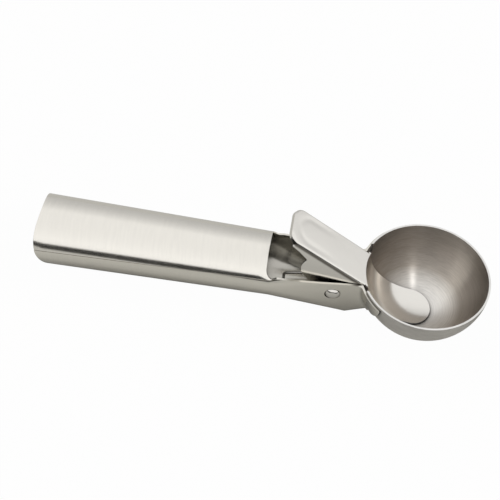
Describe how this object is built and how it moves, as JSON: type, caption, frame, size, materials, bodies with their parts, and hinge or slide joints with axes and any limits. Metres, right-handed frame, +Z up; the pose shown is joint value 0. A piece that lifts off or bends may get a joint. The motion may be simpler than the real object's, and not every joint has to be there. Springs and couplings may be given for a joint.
{
  "type": "lever ice cream scoop",
  "caption": "Steel ice cream scoop with a hollow handle, a round bowl and a sprung thumb lever whose scraper tongue lifts the ball out of the bowl.",
  "frame": {"origin": "the point of the bowl's flat rim that is farthest from the handle, midway through the rim's thickness", "axes": "+X from the handle towards the bowl's far side, +Y to the left of someone who looks along +X, +Z up out of the open bowl"},
  "size_m": [0.2073, 0.058, 0.0543],
  "materials": {
    "frame_steel": "satin",
    "cover_steel": "satin",
    "bowl_steel": "satin",
    "lever_steel": "satin",
    "rivet_steel": "satin",
    "spring_wire": "satin"
  },
  "bodies": {
    "scoop": {"frame": "frame_steel", "grip_cover": "cover_steel", "bowl": "bowl_steel", "pivot_rivet": "rivet_steel", "return_spring": "spring_wire"},
    "lever": {"thumb_lever": "lever_steel"}
  },
  "joints": [
    {"name": "lever_hinge", "type": "hinge", "parent": "scoop", "child": "lever", "pos_m": [-0.06897, 0, -0.0093], "axis": [0, -1, 0], "range_deg": [0, 24], "stiffness_Nm_per_rad": 0.25, "springref_deg": -34.38, "deforming": ["return_spring"]}
  ]
}
